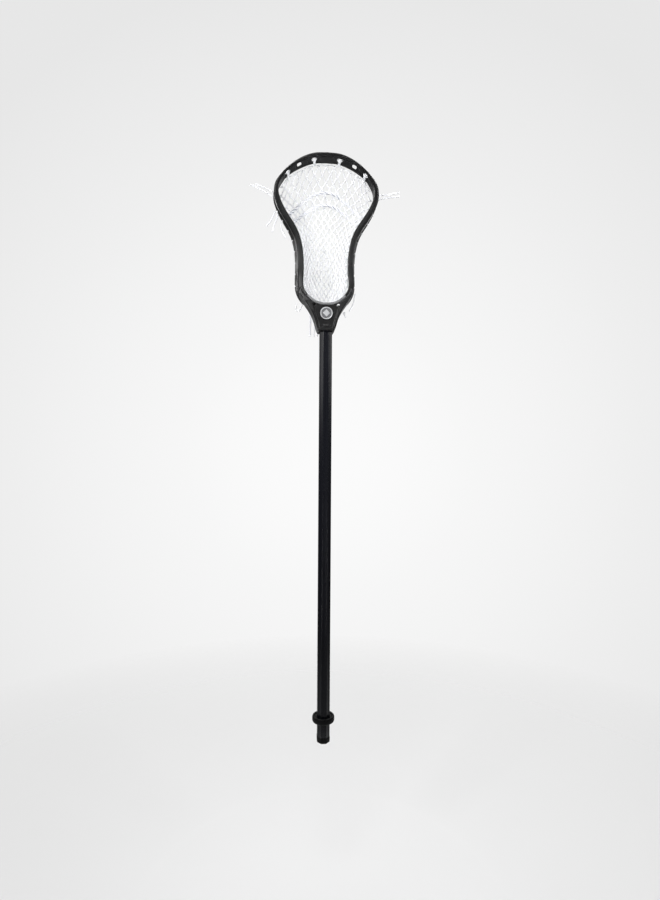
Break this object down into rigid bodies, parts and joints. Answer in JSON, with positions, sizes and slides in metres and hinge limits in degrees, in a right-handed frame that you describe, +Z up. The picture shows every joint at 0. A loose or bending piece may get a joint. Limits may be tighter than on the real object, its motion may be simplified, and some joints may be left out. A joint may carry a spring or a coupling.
{
  "type": "lacrosse stick",
  "caption": "Field lacrosse stick: octagonal tube handle, moulded open head with scoop and side walls, knotted mesh pocket with rolled shooting laces, rubber end cap and grip ring.",
  "frame": {"origin": "centre of the end cap's flat bottom face, on the handle's axis", "axes": "+Z runs up the handle to the head, the catching face looks towards -Y, +X is to the right seen from the front"},
  "size_m": [0.2668, 0.0922, 1.0153],
  "materials": {
    "tube": "black anodised, satin",
    "head": "moulded nylon, semi-gloss",
    "rubber": "matt",
    "screw": "black zinc",
    "badge": "silver print on grey",
    "foam": "closed-cell foam",
    "mesh": "knotted white nylon",
    "string": "braided white nylon",
    "lace": "woven white lace"
  },
  "bodies": {
    "stick": {"shaft": "tube", "throat_badge": "badge", "head_frame": "head", "ball_stop_pad": "foam", "mesh_pocket": "mesh", "sidewall_string_right": "string", "sidewall_string_left": "string", "top_string": "string", "bottom_string": "string", "shooting_lace_upper": "lace", "shooting_lace_lower": "lace", "lace_end_upper_left_a": "lace", "lace_end_upper_left_b": "lace", "lace_end_upper_right_a": "lace", "lace_end_upper_right_b": "lace", "lace_end_lower_left_a": "lace", "lace_end_lower_left_b": "lace", "string_end_left": "string", "flat_lace_end": "lace", "string_end_bottom_a": "string", "string_end_bottom_b": "string", "string_loop_left": "string", "string_end_right": "string", "string_knot_right": "string"},
    "cap": {"end_cap": "rubber"},
    "ring": {"grip_ring": "rubber"},
    "screw": {"head_screw": "screw"}
  },
  "joints": [
    {"name": "cap_pull", "type": "slide", "parent": "stick", "child": "cap", "axis": [0, 0, -1], "range_m": [0, 0.03]},
    {"name": "ring_slide", "type": "slide", "parent": "stick", "child": "ring", "axis": [0, 0, 1], "range_m": [-0.02, 0.12]},
    {"name": "screw_out", "type": "slide", "parent": "stick", "child": "screw", "axis": [0, 1, 0], "range_m": [0, 0.012]}
  ]
}
